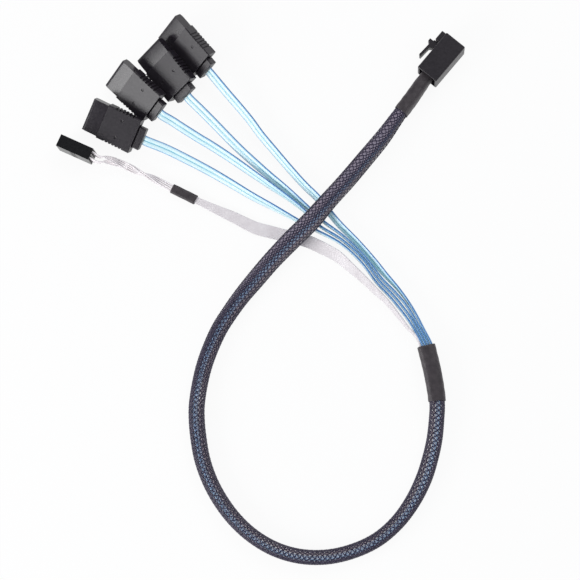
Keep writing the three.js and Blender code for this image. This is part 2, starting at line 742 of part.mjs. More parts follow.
// Trunk: the ribbons side by side in the sleeve

cable.updateMatrixWorld(true);

function rowOf(group, x, y, z, ...traits) {
  const point = group.localToWorld(new THREE.Vector3(x, y, z));
  return [point.x, point.y, point.z, ...traits];
}

const ribbonStart = HOLDER_BACK - FIT;
const firstTraits = TRUNK_ROUTE[0].slice(3);
const trunk = new Route([
  rowOf(hdPlug, ribbonStart, 0, HD_MIDDLE, ...firstTraits),
  rowOf(hdPlug, -HD_FRONT - TRUNK_LEAD, 0, HD_MIDDLE, ...firstTraits),
  ...TRUNK_ROUTE,
]);
const neckStart = ribbonStart + HD_FRONT - NECK_INSET;
const neckEndDistance = neckStart + NECK_LENGTH;
const trunkSteps = Math.round((trunk.length - neckEndDistance) / TRUNK_STEP);
const trunkPlaces = [trunk.at(0)];
for (let i = 0; i < NECK_STEPS; i += 1) {
  trunkPlaces.push(trunk.at(neckStart + NECK_LENGTH * i / NECK_STEPS));
}
for (let i = 0; i <= trunkSteps; i += 1) {
  trunkPlaces.push(trunk.at(neckEndDistance + (trunk.length - neckEndDistance) * i / trunkSteps));
}

// Directions across the bundle and through it, rolled and squeezed with the sleeve
function trunkStation(place) {
  const roll = radians(place.roll);
  const wide = place.side.clone().multiplyScalar(place.wide);
  const high = place.rise.clone().divideScalar(place.wide);
  const across = wide.clone().multiplyScalar(Math.cos(roll)).addScaledVector(high, Math.sin(roll));
  const normal = wide.clone().multiplyScalar(-Math.sin(roll)).addScaledVector(high, Math.cos(roll));
  return { point: place.point, across, normal };
}

const trunkStations = trunkPlaces.map(trunkStation);
const last = trunkStations.length - 1;

// A tube round the trunk between two stations, drawn in towards the square plug
function trunkTube(from, to, halfWidth, halfHeight, round, wall) {
  const outer = roundedRectangle(halfWidth, halfHeight, round);
  const inner = roundedRectangle(halfWidth - wall, halfHeight - wall, round - wall);
  const stations = trunkStations.slice(from, to + 1).map((station, i) => {
    const narrow = from + i === 1 ? NECK_NARROW : 1;
    const flat = NECK_FLAT[from + i - 1] ?? 1;
    return {
      point: station.point,
      across: station.across.clone().multiplyScalar(narrow),
      normal: station.normal.clone().multiplyScalar(flat),
    };
  });
  return sweep(outer, stations, inner);
}

const neckEnd = 1 + NECK_STEPS;
const sleeveStart = 2;
const collarStart = last - COLLAR_STEPS;
const TUBE_ROUND = SLEEVE_ROUND + SNUG + SHRINK_WALL;

addMesh(cable, 'neck_heat_shrink', trunkTube(
  1, neckEnd, TUBE_HALF_WIDTH, TUBE_HALF_HEIGHT, TUBE_ROUND, SHRINK_WALL,
), SHRINK);
addMesh(cable, 'braided_sleeve', trunkTube(
  sleeveStart, last - 1, SLEEVE_HALF_WIDTH, SLEEVE_HALF_HEIGHT, SLEEVE_ROUND, SLEEVE_WALL,
), BRAID);
addMesh(cable, 'collar_heat_shrink', trunkTube(
  collarStart, last, TUBE_HALF_WIDTH, TUBE_HALF_HEIGHT, TUBE_ROUND, SHRINK_WALL,
), SHRINK);

// Ribbons: through the trunk at their own offset, then on to their plug

// Stations of one ribbon in the trunk, standing on edge beside its neighbours
function ribbonInTrunk(offset) {
  return trunkStations.map((station) => ({
    point: station.point.clone().addScaledVector(station.across, offset),
    across: station.normal.clone().negate(),
    normal: station.across,
  }));
}

// Stations from the collar's end along rows of x, y, z, roll and width
function ribbonBeyond(inTrunk, rows) {
  const before = inTrunk[last - 1].point;
  const start = inTrunk[last].point;
  const edgeRow = (point) => [point.x, point.y, point.z, -90, 1];
  const route = new Route([edgeRow(before), edgeRow(start), ...rows]);
  const skipped = start.distanceTo(before);
  const steps = Math.round((route.length - skipped) / BRANCH_STEP);
  return Array.from({ length: steps }, (unused, i) => {
    const distance = skipped + (route.length - skipped) * (i + 1) / steps;
    return ribbonStation(route.at(distance));
  });
}

function ribbonOffset(index) {
  return index * (RIBBON_THICKNESS + SNUG) + RIBBON_THICKNESS / 2 - BUNDLE_HALF_WIDTH;
}

sataPlugs.forEach((plug, i) => {
  const inTrunk = ribbonInTrunk(ribbonOffset(i));
  const roll = -SATA_PLACES[i].roll;
  const ends = [RELIEF_BACK - FIT - RIBBON_LEAD, RELIEF_BACK - FIT].map((x) => rowOf(plug, x, 0, SATA_MIDDLE, roll, 1));
  const beyond = ribbonBeyond(inTrunk, [...RIBBON_ROUTES[i], ...ends]);
  const section = twoLobes(RIBBON_WIDTH, RIBBON_THICKNESS, RIBBON_WAIST);
  addMesh(cable, `sata_ribbon_${i + 1}`, sweep(section, [...inTrunk, ...beyond]), BLUE);
});

const splitStart = new THREE.Vector3(...SPLIT_START);
const splitEnd = new THREE.Vector3(...SPLIT_END);
const splitWay = splitEnd.clone().sub(splitStart).normalize();
const ribbonEnd = splitStart.clone().addScaledVector(splitWay, SPLIT_ENTRY);
const wireStart = splitEnd.clone().addScaledVector(splitWay, -SPLIT_ENTRY);

function sidebandRibbon() {
  const inTrunk = ribbonInTrunk(BUNDLE_HALF_WIDTH - SIDEBAND_THICKNESS / 2);
  const foldedRows = [splitStart, ribbonEnd].map((point) => [point.x, point.y, point.z, 0, SPLIT_FOLD]);
  const beyond = ribbonBeyond(inTrunk, [...SIDEBAND_ROUTE, ...foldedRows]);
  const section = bevelledRectangle(SIDEBAND_WIDTH, SIDEBAND_THICKNESS, SIDEBAND_EDGE);
  return sweep(section, [...inTrunk, ...beyond]);
}

addMesh(cable, 'sideband_ribbon', sidebandRibbon(), WHITE);

// Split tube and single wires

function splitTube() {
  const outer = roundedRectangle(SPLIT_HALF_WIDTH, SPLIT_HALF_HEIGHT, SPLIT_ROUND + SHRINK_WALL);
  const inner = roundedRectangle(
    SPLIT_HALF_WIDTH - SHRINK_WALL, SPLIT_HALF_HEIGHT - SHRINK_WALL, SPLIT_ROUND,
  );
  const side = UP.clone().cross(splitWay).normalize();
  const rise = splitWay.clone().cross(side);
  const stations = [splitStart, splitEnd].map((point) => ({ point, across: side, normal: rise }));
  return sweep(outer, stations, inner);
}

addMesh(cable, 'split_heat_shrink', splitTube(), SHRINK);

const wireBack = TERMINAL_BACK - FIT;
const wireRoute = new Route([
  [...wireStart.toArray()],
  [...splitEnd.toArray()],
  ...WIRE_ROUTE,
  rowOf(header, -HEADER_FRONT - WIRE_LEAD, 0, HEADER_HEIGHT / 2),
  rowOf(header, -HEADER_FRONT, 0, HEADER_HEIGHT / 2),
  rowOf(header, wireBack, 0, HEADER_HEIGHT / 2),
]);

// One wire keeps its place in a two by four pattern that turns once upright and opens to the pins
function sidebandWire(across, up) {
  const inTube = SPLIT_ENTRY / wireRoute.length;
  const atHeader = 1 - (HEADER_FRONT + wireBack) / wireRoute.length;
  const shares = Array.from({ length: WIRE_STEPS }, (unused, i) => (
    inTube + (atHeader - inTube) * i / (WIRE_STEPS - 1)
  ));
  const stations = [0, ...shares, 1].map((share) => {
    const place = wireRoute.at(share * wireRoute.length);
    const turn = radians(WIRE_TWIST * THREE.MathUtils.smoothstep(share, inTube, atHeader) - WIRE_TWIST);
    const spread = THREE.MathUtils.smoothstep(share, WIRE_SPREAD_FROM, atHeader);
    const pitch = THREE.MathUtils.lerp(WIRE_PITCH, PIN_PITCH, spread);
    const offset = new THREE.Vector2(across * pitch, up * pitch).rotateAround(new THREE.Vector2(), turn);
    return {
      point: place.point.clone().addScaledVector(place.side, offset.x).addScaledVector(place.rise, offset.y),
      across: place.side,
      normal: place.rise,
    };
  });
  return sweep(circle(WIRE_DIAMETER / 2, WIRE_SIDES), stations);
}

pinPlaces().forEach(({ across, up }, i) => {
  addMesh(cable, `sideband_wire_${i + 1}`, sidebandWire(across, up), WHITE);
});

// Origin under the middle of the connectors

cable.updateMatrixWorld(true);
const extent = new THREE.Box3();
connectors.forEach((mesh) => extent.expandByObject(mesh, true));
const middle = extent.getCenter(new THREE.Vector3());
cable.position.set(-middle.x, -middle.y, -extent.min.z);

export default cable;
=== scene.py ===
# Looks of the mini SAS HD to four SATA breakout cable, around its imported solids.
# Plan routes are in the photograph's own frame, in millimetres, as in the part's source.
# Everything that is built is in metres in the part's frame.

import math

import bmesh
import bpy
import numpy as np
from mathutils import Matrix, Vector


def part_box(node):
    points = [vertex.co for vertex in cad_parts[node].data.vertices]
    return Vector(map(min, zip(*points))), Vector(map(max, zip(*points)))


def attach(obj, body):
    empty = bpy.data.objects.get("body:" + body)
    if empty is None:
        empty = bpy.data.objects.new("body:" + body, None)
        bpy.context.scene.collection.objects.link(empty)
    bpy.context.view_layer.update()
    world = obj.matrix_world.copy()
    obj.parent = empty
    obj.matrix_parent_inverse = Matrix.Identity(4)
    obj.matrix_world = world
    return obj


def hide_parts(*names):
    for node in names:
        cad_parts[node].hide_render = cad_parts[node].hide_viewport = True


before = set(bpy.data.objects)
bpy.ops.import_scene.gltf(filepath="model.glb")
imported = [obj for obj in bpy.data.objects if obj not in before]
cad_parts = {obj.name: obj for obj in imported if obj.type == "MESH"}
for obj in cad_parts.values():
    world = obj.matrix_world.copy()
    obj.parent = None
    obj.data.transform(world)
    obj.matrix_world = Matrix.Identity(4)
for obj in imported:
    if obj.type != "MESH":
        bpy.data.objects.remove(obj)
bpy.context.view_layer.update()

MM = 0.001
UP = np.array([0.0, 0.0, 1.0])

# Driving sizes, in millimetres, as in the part's source
FIT = 0.3
SNUG = 0.14
HD_LENGTH = 18.2
HD_HEIGHT = 11.5
HD_MOUTH_DEPTH = 13
HD_X = 61.17
HD_Y = 92.71
HD_HEADING = 49.9
HEADER_X = -86.43
HEADER_Y = 57.76
HEADER_HEADING = 155.3
HEADER_LENGTH = 14.5
HEADER_HEIGHT = 10.16
TERMINAL_FRONT = 1.2
TERMINAL_LENGTH = 9.2
TERMINAL_BACK = HEADER_LENGTH / 2 - TERMINAL_FRONT - TERMINAL_LENGTH
PIN_PITCH = 2.54
RIBBON_WIDTH = 4.0
RIBBON_THICKNESS = 1.05
RIBBON_WAIST = 0.5
SIDEBAND_WIDTH = 3.6
SIDEBAND_THICKNESS = 0.75
CONDUCTORS = 8
WIRE_DIAMETER = 0.62
WIRE_PITCH = 0.8
WIRE_TWIST = 270
SLEEVE_WALL = 0.3
SLEEVE_HALF_HEIGHT = 2.95
SHRINK_WALL = 0.3
NECK_INSET = 1.5
NECK_LENGTH = 19.2
NECK_STEPS = 3
NECK_NARROW = 0.89
NECK_FLAT = [0.76, 0.84, 0.85, 0.88, 0.95, 1.0]
TRUNK_STEP = 7.4
TRUNK_LEAD = 1.5
RIBBON_LEAD = 1.2
WIRE_LEAD = 3
WIRE_SPREAD_FROM = 0.62
SPLIT_HALF_WIDTH = 1.95
SPLIT_HALF_HEIGHT = 1.25
SPLIT_FOLD = 0.8
SPLIT_ENTRY = 3.5
BODY_LENGTH = 14.75
BODY_WIDTH = 14.67
BODY_THICKNESS = 5.28
NOSE_LENGTH = 6.8
RELIEF_LENGTH = 2.83
SLOT_DEPTH = 8.6
BUNDLE_HALF_WIDTH = (4 * (RIBBON_THICKNESS + SNUG) + SIDEBAND_THICKNESS) / 2
SLEEVE_HALF_WIDTH = BUNDLE_HALF_WIDTH + SNUG + SLEEVE_WALL

# Plan x and y, heading and roll of each drive plug
SATA_PLACES = [
    (-43.28, 104.16, 130.4, 41.3),
    (-51.63, 94.18, 128.1, 30.0),
    (-64.61, 85.69, 136.3, 33.1),
    (-74.85, 70.45, 153.2, 21.5),
]

# Routes repeated from the part's source: x, y, z, roll and width
TRUNK_ROUTE = [
    [51.5, 80.6, 5.8, -88, 1],
    [48.9, 76.8, 6.0, -85, 1],
    [44.2, 70.5, 6.2, -81, 0.96],
    [37.6, 61.2, 6.6, -75, 1.03],
    [30.1, 52.0, 7.0, -68, 1.06],
    [23.1, 43.6, 7.4, -62, 1.06],
    [16.0, 35.7, 7.6, -57, 1.06],
    [8.6, 27.2, 7.5, -51, 1.16],
    [0.5, 19.3, 6.8, -45, 1.15],
    [-7.1, 11.6, 5.6, -39, 1.1],
    [-13.9, 3.9, 4.5, -34, 1.08],
    [-19.5, -2.8, 4.1, -29, 1.02],
    [-24.5, -9.7, 3.6, -24, 1],
    [-28.8, -16.7, 3.4, -20, 1],
    [-34.3, -30.6, 3.3, -12, 1],
    [-37.0, -44.8, 3.3, -5, 1],
    [-37.1, -51.8, 3.3, -2, 1],
    [-36.3, -59.7, 3.15, 0, 1],
    [-34.8, -67.6, 3.15, 0, 0.99],
    [-31.7, -76.2, 3.2, 0, 0.97],
    [-27.4, -84.0, 3.25, 0, 0.96],
    [-22.0, -91.1, 3.3, 0, 0.94],
    [-15.1, -97.5, 3.35, 0, 0.92],
    [-6.2, -102.8, 3.4, 0, 0.92],
    [3.5, -105.7, 3.4, 0, 0.92],
    [14.0, -106.1, 3.4, 0, 0.92],
    [24.4, -103.9, 3.4, 0, 0.91],
    [34.2, -99.4, 3.4, 0, 0.91],
    [42.2, -92.6, 3.35, 0, 0.93],
    [48.3, -84.4, 3.25, 0, 0.98],
    [52.7, -75.7, 3.2, 0, 1.02],
    [55.2, -68.2, 3.2, 0, 1.01],
    [57.1, -60.1, 3.25, 0, 0.99],
    [58.0, -52.3, 3.35, 0, 0.96],
    [58.3, -45.4, 3.55, 0, 0.96],
    [56.8, -34.4, 3.65, 0, 0.98],
    [54.2, -23.0, 3.65, 0, 1],
]
RIBBON_ROUTES = [
    [
        [53.1, -15.8, 3.0, -90], [50.8, -11.1, 2.6, -90], [47.8, -6.0, 2.3, -86], [43.4, 0.0, 2.25, -78],
        [37.5, 6.7, 2.1, -64], [33.4, 11.8, 2.1, -60], [27.2, 19.0, 2.1, -60], [19.3, 27.2, 2.1, -56],
        [11.0, 37.5, 2.1, -52], [5.8, 42.7, 2.2, -50], [-0.3, 49.6, 2.5, -49], [-6.5, 57.0, 2.8, -47],
        [-11.9, 63.5, 3.3, -45], [-15.8, 68.9, 3.9, -44], [-19.9, 73.9, 4.6, -43], [-25.9, 80.9, 5.6, -42],
    ],
    [
        [51.9, -16.0, 2.9, -90], [49.6, -11.6, 2.5, -90], [46.2, -6.1, 2.3, -90], [41.9, -1.0, 2.3, -90],
        [36.8, 4.3, 2.3, -90], [30.0, 13.3, 2.3, -90], [21.8, 21.4, 2.3, -90], [13.2, 27.9, 2.3, -84],
        [7.2, 33.4, 2.3, -74], [-1.8, 41.3, 2.3, -58], [-8.0, 46.4, 2.4, -48], [-13.6, 51.3, 2.7, -41],
        [-19.8, 57.0, 3.1, -36], [-24.3, 61.5, 3.6, -33], [-29.8, 67.2, 4.4, -31], [-35.4, 72.9, 5.2, -30],
    ],
    [
        [50.8, -16.3, 2.9, -90], [48.4, -11.9, 2.5, -90], [44.9, -6.9, 2.3, -90], [40.9, -2.0, 2.3, -90],
        [35.9, 3.3, 2.3, -90], [29.2, 12.4, 2.3, -90], [21.0, 20.1, 2.3, -90], [11.6, 26.2, 2.3, -88],
        [6.1, 31.9, 2.3, -82], [-0.8, 37.5, 2.3, -72], [-8.0, 42.6, 2.3, -61], [-13.7, 46.7, 2.3, -53],
        [-24.0, 54.0, 2.7, -42], [-32.2, 59.4, 3.3, -37], [-36.4, 61.9, 3.7, -35], [-43.6, 66.4, 4.8, -33],
        [-47.8, 69.1, 5.4, -33],
    ],
    [
        [49.7, -16.7, 2.9, -90], [47.2, -12.5, 2.5, -90], [43.7, -7.7, 2.3, -90], [39.8, -2.9, 2.3, -90],
        [34.9, 2.4, 2.3, -90], [28.3, 11.3, 2.3, -90], [20.2, 18.8, 2.3, -90], [10.0, 24.4, 2.3, -86],
        [2.6, 28.5, 2.3, -78], [-5.9, 33.3, 2.2, -65], [-15.7, 38.7, 2.1, -52], [-24.0, 43.8, 2.1, -43],
        [-32.3, 48.7, 2.2, -35], [-43.7, 54.7, 3.1, -26], [-50.4, 57.9, 3.9, -22],
    ],
]
SIDEBAND_ROUTE = [
    [50.2, -19.2, 3.2, -88, 1], [47.0, -15.6, 2.8, -80, 1], [42.4, -9.6, 2.6, -72, 1],
    [38.6, -4.9, 2.5, -67, 1.1], [34.2, -0.6, 2.5, -62, 1.25], [29.0, 4.6, 2.5, -56, 1.3],
    [24.0, 9.2, 2.3, -46, 1.36], [19.3, 13.4, 1.9, -33, 1.42], [13.2, 17.0, 1.4, -20, 1.42],
    [6.3, 20.2, 1.0, -10, 1.42], [-2.9, 22.6, 0.8, -3, 1.42], [-8.2, 24.0, 0.8, 0, 1.42],
    [-14.2, 25.7, 0.9, 0, 1.42], [-23.0, 30.1, 1.1, 0, 1.25], [-30.0, 33.3, 1.2, 0, 1.02],
    [-34.4, 35.4, 1.3, 0, 0.86],
]
# Middle of the shrink tube over the split, and the wires' way on from it
SPLIT_START = np.array([-38.2, 37.2, 1.35])
SPLIT_END = np.array([-47.7, 42.0, 1.45])
WIRE_ROUTE = [
    [-52.8, 44.7, 1.7], [-56.8, 46.8, 1.9], [-62.9, 49.5, 2.3], [-69.0, 52.2, 3.4], [-74.9, 53.6, 4.6],
]

# The header socket's box is centred on its known plan place, which gives the move to the part's frame
low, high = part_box("header_housing")
SHIFT = np.array([
    (low.x + high.x) / 2 - HEADER_X * MM,
    (low.y + high.y) / 2 - HEADER_Y * MM,
    low.z,
])


def to_part(points):
    """Plan millimetres to metres in the part's frame."""
    return np.asarray(points, float) * MM + SHIFT


def plan_axes(heading):
    """Forward and left directions of something that points along a heading in degrees."""
    angle = math.radians(heading)
    forward = np.array([math.cos(angle), math.sin(angle), 0.0])
    return forward, np.array([-forward[1], forward[0], 0.0])


# Camera at the photograph's place: tilt and distance fitted to the square plug's corners

PHOTO_SIZE = 580
FOCAL_PIXELS = 2200
CAMERA_DISTANCE = 880
CAMERA_TARGET = np.array([0.0, 0.0, 3.0])
CAMERA_BACK = np.array([0.051, -0.139, 0.989])


def add_camera():
    back = CAMERA_BACK / np.linalg.norm(CAMERA_BACK)
    right = np.cross([0.0, 1.0, 0.0], back)
    right /= np.linalg.norm(right)
    above = np.cross(back, right)
    place = to_part(CAMERA_TARGET + back * CAMERA_DISTANCE)
    data = bpy.data.cameras.new("camera")
    data.sensor_width = 36.0
    data.lens = data.sensor_width * FOCAL_PIXELS / PHOTO_SIZE
    data.clip_start = 0.01
    camera = bpy.data.objects.new("camera", data)
    matrix = Matrix.Identity(4)
    for column, vector in enumerate((right, above, back, place)):
        for row in range(3):
            matrix[row][column] = vector[row]
    camera.matrix_world = matrix
    bpy.context.scene.collection.objects.link(camera)
    bpy.context.scene.camera = camera


add_camera()

# Node material helpers


def new_material(name, color, roughness, **inputs):
    """A principled material. Returns it with its node tree and shader."""
    material = bpy.data.materials.new(name)
    material.use_nodes = True
    tree = material.node_tree
    shader = tree.nodes["Principled BSDF"]
    shader.inputs["Base Color"].default_value = (*color, 1)
    shader.inputs["Roughness"].default_value = roughness
    for key, value in inputs.items():
        shader.inputs[key.replace("_", " ")].default_value = value
    return material, tree, shader


def node(tree, kind, **settings):
    """A new node. Each setting is an input's value or else a property."""
    made = tree.nodes.new(kind)
    for key, value in settings.items():
        if key in made.inputs.keys():
            made.inputs[key].default_value = value
        else:
            setattr(made, key, value)
    return made


def object_place(tree):
    return node(tree, "ShaderNodeTexCoord").outputs["Object"]


def noise(tree, scale, detail=3.0, place=None):
    texture = node(tree, "ShaderNodeTexNoise", Scale=scale, Detail=detail)
    tree.links.new(place or object_place(tree), texture.inputs["Vector"])
    return texture.outputs["Fac"]


def ramp(tree, value, stops):
    """Colour from a value, by stops of place and colour."""
    made = node(tree, "ShaderNodeValToRGB")
    elements = made.color_ramp.elements
    while len(elements) < len(stops):
        elements.new(1.0)
    for element, (place, color) in zip(elements, stops):
        element.position = place
        element.color = (*color, 1)
    tree.links.new(value, made.inputs["Fac"])
    return made.outputs["Color"]


def math_node(tree, operation, first, second=0.0):
    made = node(tree, "ShaderNodeMath", operation=operation)
    for socket, value in zip(made.inputs, (first, second)):
        if isinstance(value, (int, float)):
            socket.default_value = value
        else:
            tree.links.new(value, socket)
    return made.outputs["Value"]


def mix_color(tree, factor, first, second, blend="MIX"):
    made = node(tree, "ShaderNodeMix", data_type="RGBA", blend_type=blend)
    for socket, value in ((made.inputs[0], factor), (made.inputs[6], first), (made.inputs[7], second)):
        if isinstance(value, (int, float)):
            socket.default_value = value
        elif isinstance(value, tuple):
            socket.default_value = (*value, 1)
        else:
            tree.links.new(value, socket)
    return made.outputs[2]


def add_bump(tree, shader, height, strength, distance):
    bump = node(tree, "ShaderNodeBump", Strength=strength, Distance=distance)
    tree.links.new(height, bump.inputs["Height"])
    tree.links.new(bump.outputs["Normal"], shader.inputs["Normal"])


def varied(tree, shader, low_color, high_color, scale):
    """Base colour that drifts between two close tones."""
    color = ramp(tree, noise(tree, scale), [(0.3, low_color), (0.7, high_color)])
    tree.links.new(color, shader.inputs["Base Color"])
    return color


GLOSS_DRIFT = 0.16
NOSE_POLISH = 0.14
GRAIN_SCALE = 6500
GRAIN_DEPTH = 0.000006


def moulded_plastic(name, dark, light, roughness, smooth=None):
    """Moulded plastic. Past the line in smooth, a direction and a start, it is polished."""
    material, tree, shader = new_material(name, dark, roughness, Specular_IOR_Level=0.5)
    varied(tree, shader, dark, light, 900)
    gloss = math_node(tree, "MULTIPLY", noise(tree, 1800), GLOSS_DRIFT)
    rough = math_node(tree, "ADD", gloss, roughness - GLOSS_DRIFT / 2)
    if smooth:
        polish = math_node(tree, "MULTIPLY", along_mask(tree, *smooth), NOSE_POLISH)
        rough = math_node(tree, "SUBTRACT", rough, polish)
    tree.links.new(rough, shader.inputs["Roughness"])
    add_bump(tree, shader, noise(tree, GRAIN_SCALE, 4.0), 0.5, GRAIN_DEPTH)
    return material


def shrink_tube():
    """Matt shrink tube: broad waves with a fine grain on them."""
    material, tree, shader = new_material("heat_shrink", (0.05, 0.044, 0.052), 0.5)
    varied(tree, shader, (0.036, 0.03, 0.035), (0.062, 0.052, 0.058), 500)
    waves = noise(tree, 450)
    grain = math_node(tree, "MULTIPLY", noise(tree, 5200, 4.0), 0.25)
    add_bump(tree, shader, math_node(tree, "ADD", waves, grain), 0.6, 0.00006)
    return material


# Three ridges across a strand
FILAMENT_TURNS = 18.8


def braid_strand():
    """Dark polyester strand with fine filaments that run along it."""
    material, tree, shader = new_material(
        "braid_strand", (0.03, 0.027, 0.05), 0.4, Specular_IOR_Level=0.5,
    )
    varied(tree, shader, (0.018, 0.015, 0.04), (0.046, 0.036, 0.072), 700)
    strand = node(tree, "ShaderNodeAttribute", attribute_name="across")
    turns = math_node(tree, "MULTIPLY", strand.outputs["Fac"], FILAMENT_TURNS)
    lines = math_node(tree, "SINE", turns)
    add_bump(tree, shader, lines, 0.3, 0.00002)
    return material


def blue_film():
    """Blue jacket: pale over the lobes, deep blue at the edges, teal in the valley.

    The point attribute across is 0 in the valley and 1 at the edges, and the near-white over the lobes is a
    painted highlight. The point attribute covered is 0 in the open, and inside the sleeve it picks painted
    light and shade in place of the ribbon's blue: navy as painted shade, grey-brown for the white ribbon in
    shade, pale blue brightened against the shade in the sleeve.
    """
    material, tree, shader = new_material(
        "blue_film", (0.5, 0.8, 1.0), 0.3, Coat_Weight=0.4, Coat_Roughness=0.2,
    )
    across = node(tree, "ShaderNodeAttribute", attribute_name="across").outputs["Fac"]
    # Painted highlight: near-white over the lobes in place of the jacket's blue, with teal in the valley and
    # deep blue at the edges
    tint = ramp(tree, across, [
        (0.0, (0.1, 0.36, 0.5)),
        (0.06, (0.3, 0.66, 0.8)),
        (0.18, (0.76, 0.96, 1.0)),
        (0.66, (0.78, 0.96, 1.0)),
        (0.84, (0.42, 0.7, 0.92)),
        (0.97, (0.045, 0.19, 0.47)),
    ])
    patch = ramp(tree, noise(tree, 260), [(0.35, (0.86, 0.95, 0.98)), (0.65, (1.0, 1.0, 1.0))])
    covered = node(tree, "ShaderNodeAttribute", attribute_name="covered").outputs["Fac"]
    # Painted light and shade inside the sleeve: navy is painted shade, grey-brown stands for the white
    # ribbon in shade, and pale blue is brightened against the shade there
    painted_sleeve_tone = ramp(tree, covered, [
        (0.3, (0.14, 0.18, 0.42)),
        (0.6, (0.62, 0.5, 0.52)),
        (0.95, (0.56, 0.75, 1.0)),
    ])
    tint = mix_color(tree, math_node(tree, "GREATER_THAN", covered, 0.1), tint, painted_sleeve_tone)
    tree.links.new(mix_color(tree, 0.6, tint, patch, "MULTIPLY"), shader.inputs["Base Color"])
    add_bump(tree, shader, noise(tree, 300), 0.1, 0.00002)
    return material


def white_jacket(name, dark, light):
    """Warm white insulation that drifts between two tones."""
    material, tree, shader = new_material(name, light, 0.45, Coat_Weight=0.15)
    varied(tree, shader, dark, light, 350)
    add_bump(tree, shader, noise(tree, 1600), 0.2, 0.00001)
    return material


def along_mask(tree, direction, start):
    """1 where a point lies past start along a direction, else 0."""
    dot = node(tree, "ShaderNodeVectorMath", operation="DOT_PRODUCT")
    tree.links.new(object_place(tree), dot.inputs[0])
    dot.inputs[1].default_value = direction
    return math_node(tree, "GREATER_THAN", dot.outputs["Value"], start)


def gold_tipped(name, base, direction, start, stripes=None):
    """Moulded or board colour with gold contacts past a line, in stripes up the card if asked."""
    material, tree, shader = new_material(name, base, 0.4)
    mask = along_mask(tree, direction, start)
    if stripes:
        split = node(tree, "ShaderNodeSeparateXYZ")
        tree.links.new(object_place(tree), split.inputs["Vector"])
        share = math_node(tree, "FRACT", math_node(tree, "DIVIDE", split.outputs["Z"], stripes))
        mask = math_node(tree, "MULTIPLY", mask, math_node(tree, "LESS_THAN", share, 0.6))
    worn = ramp(tree, noise(tree, 2500), [(0.3, (0.72, 0.5, 0.2)), (0.7, (0.86, 0.66, 0.34))])
    tree.links.new(mix_color(tree, mask, base, worn), shader.inputs["Base Color"])
    tree.links.new(mask, shader.inputs["Metallic"])
    add_bump(tree, shader, noise(tree, 5000), 0.3, 0.00001)
    return material


def gold():
    """Thin gold plating, a little worn."""
    material, tree, shader = new_material("gold", (0.8, 0.6, 0.3), 0.3, Metallic=1.0)
    varied(tree, shader, (0.7, 0.5, 0.22), (0.86, 0.68, 0.38), 2500)
    add_bump(tree, shader, noise(tree, 4000), 0.3, 0.00001)
    return material


PLASTIC = moulded_plastic("connector_plastic", (0.016, 0.013, 0.018), (0.024, 0.02, 0.026), 0.4)
HEADER_PLASTIC = moulded_plastic("header_plastic", (0.008, 0.008, 0.009), (0.013, 0.013, 0.014), 0.28)
SHRINK = shrink_tube()
STRAND = braid_strand()
BLUE = blue_film()
WHITE = white_jacket("white_jacket", (0.72, 0.675, 0.695), (0.8, 0.765, 0.78))
# The wires' white is painted lighter than the sideband ribbon's, to lift the shade between the thin wires
WIRE_WHITE_LIGHTENED = white_jacket("wire_jacket_lightened", (0.88, 0.83, 0.84), (0.94, 0.9, 0.91))
GOLD = gold()

# Smooth routes, the same curve as in the part's source


class Route:
    """Centripetal curve through rows of x, y, z with roll and width carried along."""

    SAMPLES = 30
    NUDGE = 0.4
    SHORTEST = 1e-4

    def __init__(self, rows):
        rows = [list(row) + [0, 1][len(row) - 3:] for row in rows]
        knots = np.array(rows, float)
        self.path = self._curve(knots[:, :3], 0.25)
        self.traits = self._curve(knots[:, 3:], 0.0)
        steps = np.linalg.norm(np.diff(self.path, axis=0), axis=1)
        self.reach = np.concatenate([[0.0], np.cumsum(steps)])
        self.length = self.reach[-1]

    def _curve(self, knots, power):
        ahead = 2 * knots[0] - knots[1]
        behind = 2 * knots[-1] - knots[-2]
        ends = np.vstack([ahead, knots, behind])
        out = []
        weights = np.arange(self.SAMPLES)[:, None] / self.SAMPLES
        for i in range(1, len(ends) - 2):
            p0, p1, p2, p3 = ends[i - 1:i + 3]
            if power:
                spans = (p1 - p0, p2 - p1, p3 - p2)
                d0, d1, d2 = (max((span @ span) ** power, self.SHORTEST) for span in spans)
                t1 = ((p1 - p0) / d0 - (p2 - p0) / (d0 + d1) + (p2 - p1) / d1) * d1
                t2 = ((p2 - p1) / d1 - (p3 - p1) / (d1 + d2) + (p3 - p2) / d2) * d1
            else:
                t1, t2 = (p2 - p0) / 2, (p3 - p1) / 2
            square = -3 * p1 + 3 * p2 - 2 * t1 - t2
            cube = 2 * p1 - 2 * p2 + t1 + t2
            out.append(p1 + t1 * weights + square * weights ** 2 + cube * weights ** 3)
        out.append(knots[-1:])
        return np.vstack(out)

    def _pick(self, table, distance):
        return np.stack([np.interp(distance, self.reach, column) for column in table.T], axis=1)

    def at(self, distance):
        """Points, side, rise, roll in radians and width at distances along the route."""
        distance = np.clip(distance, 0, self.length)
        point = self._pick(self.path, distance)
        ahead = self._pick(self.path, np.clip(distance + self.NUDGE, 0, self.length))
        back = self._pick(self.path, np.clip(distance - self.NUDGE, 0, self.length))
        tangent = unit(ahead - back)
        side = unit(np.cross(UP, tangent))
        rise = np.cross(tangent, side)
        traits = self._pick(self.traits, distance)
        return point, side, rise, np.radians(traits[:, :1]), traits[:, 1:]


def unit(vectors):
    return vectors / np.linalg.norm(vectors, axis=-1, keepdims=True)


def rolled(side, rise, roll, wide):
    """Directions across and through a flat section, squeezed along its width."""
    across = (side * np.cos(roll) + rise * np.sin(roll)) * wide
    normal = (rise * np.cos(roll) - side * np.sin(roll)) / wide
    return across, normal


# Mesh helpers


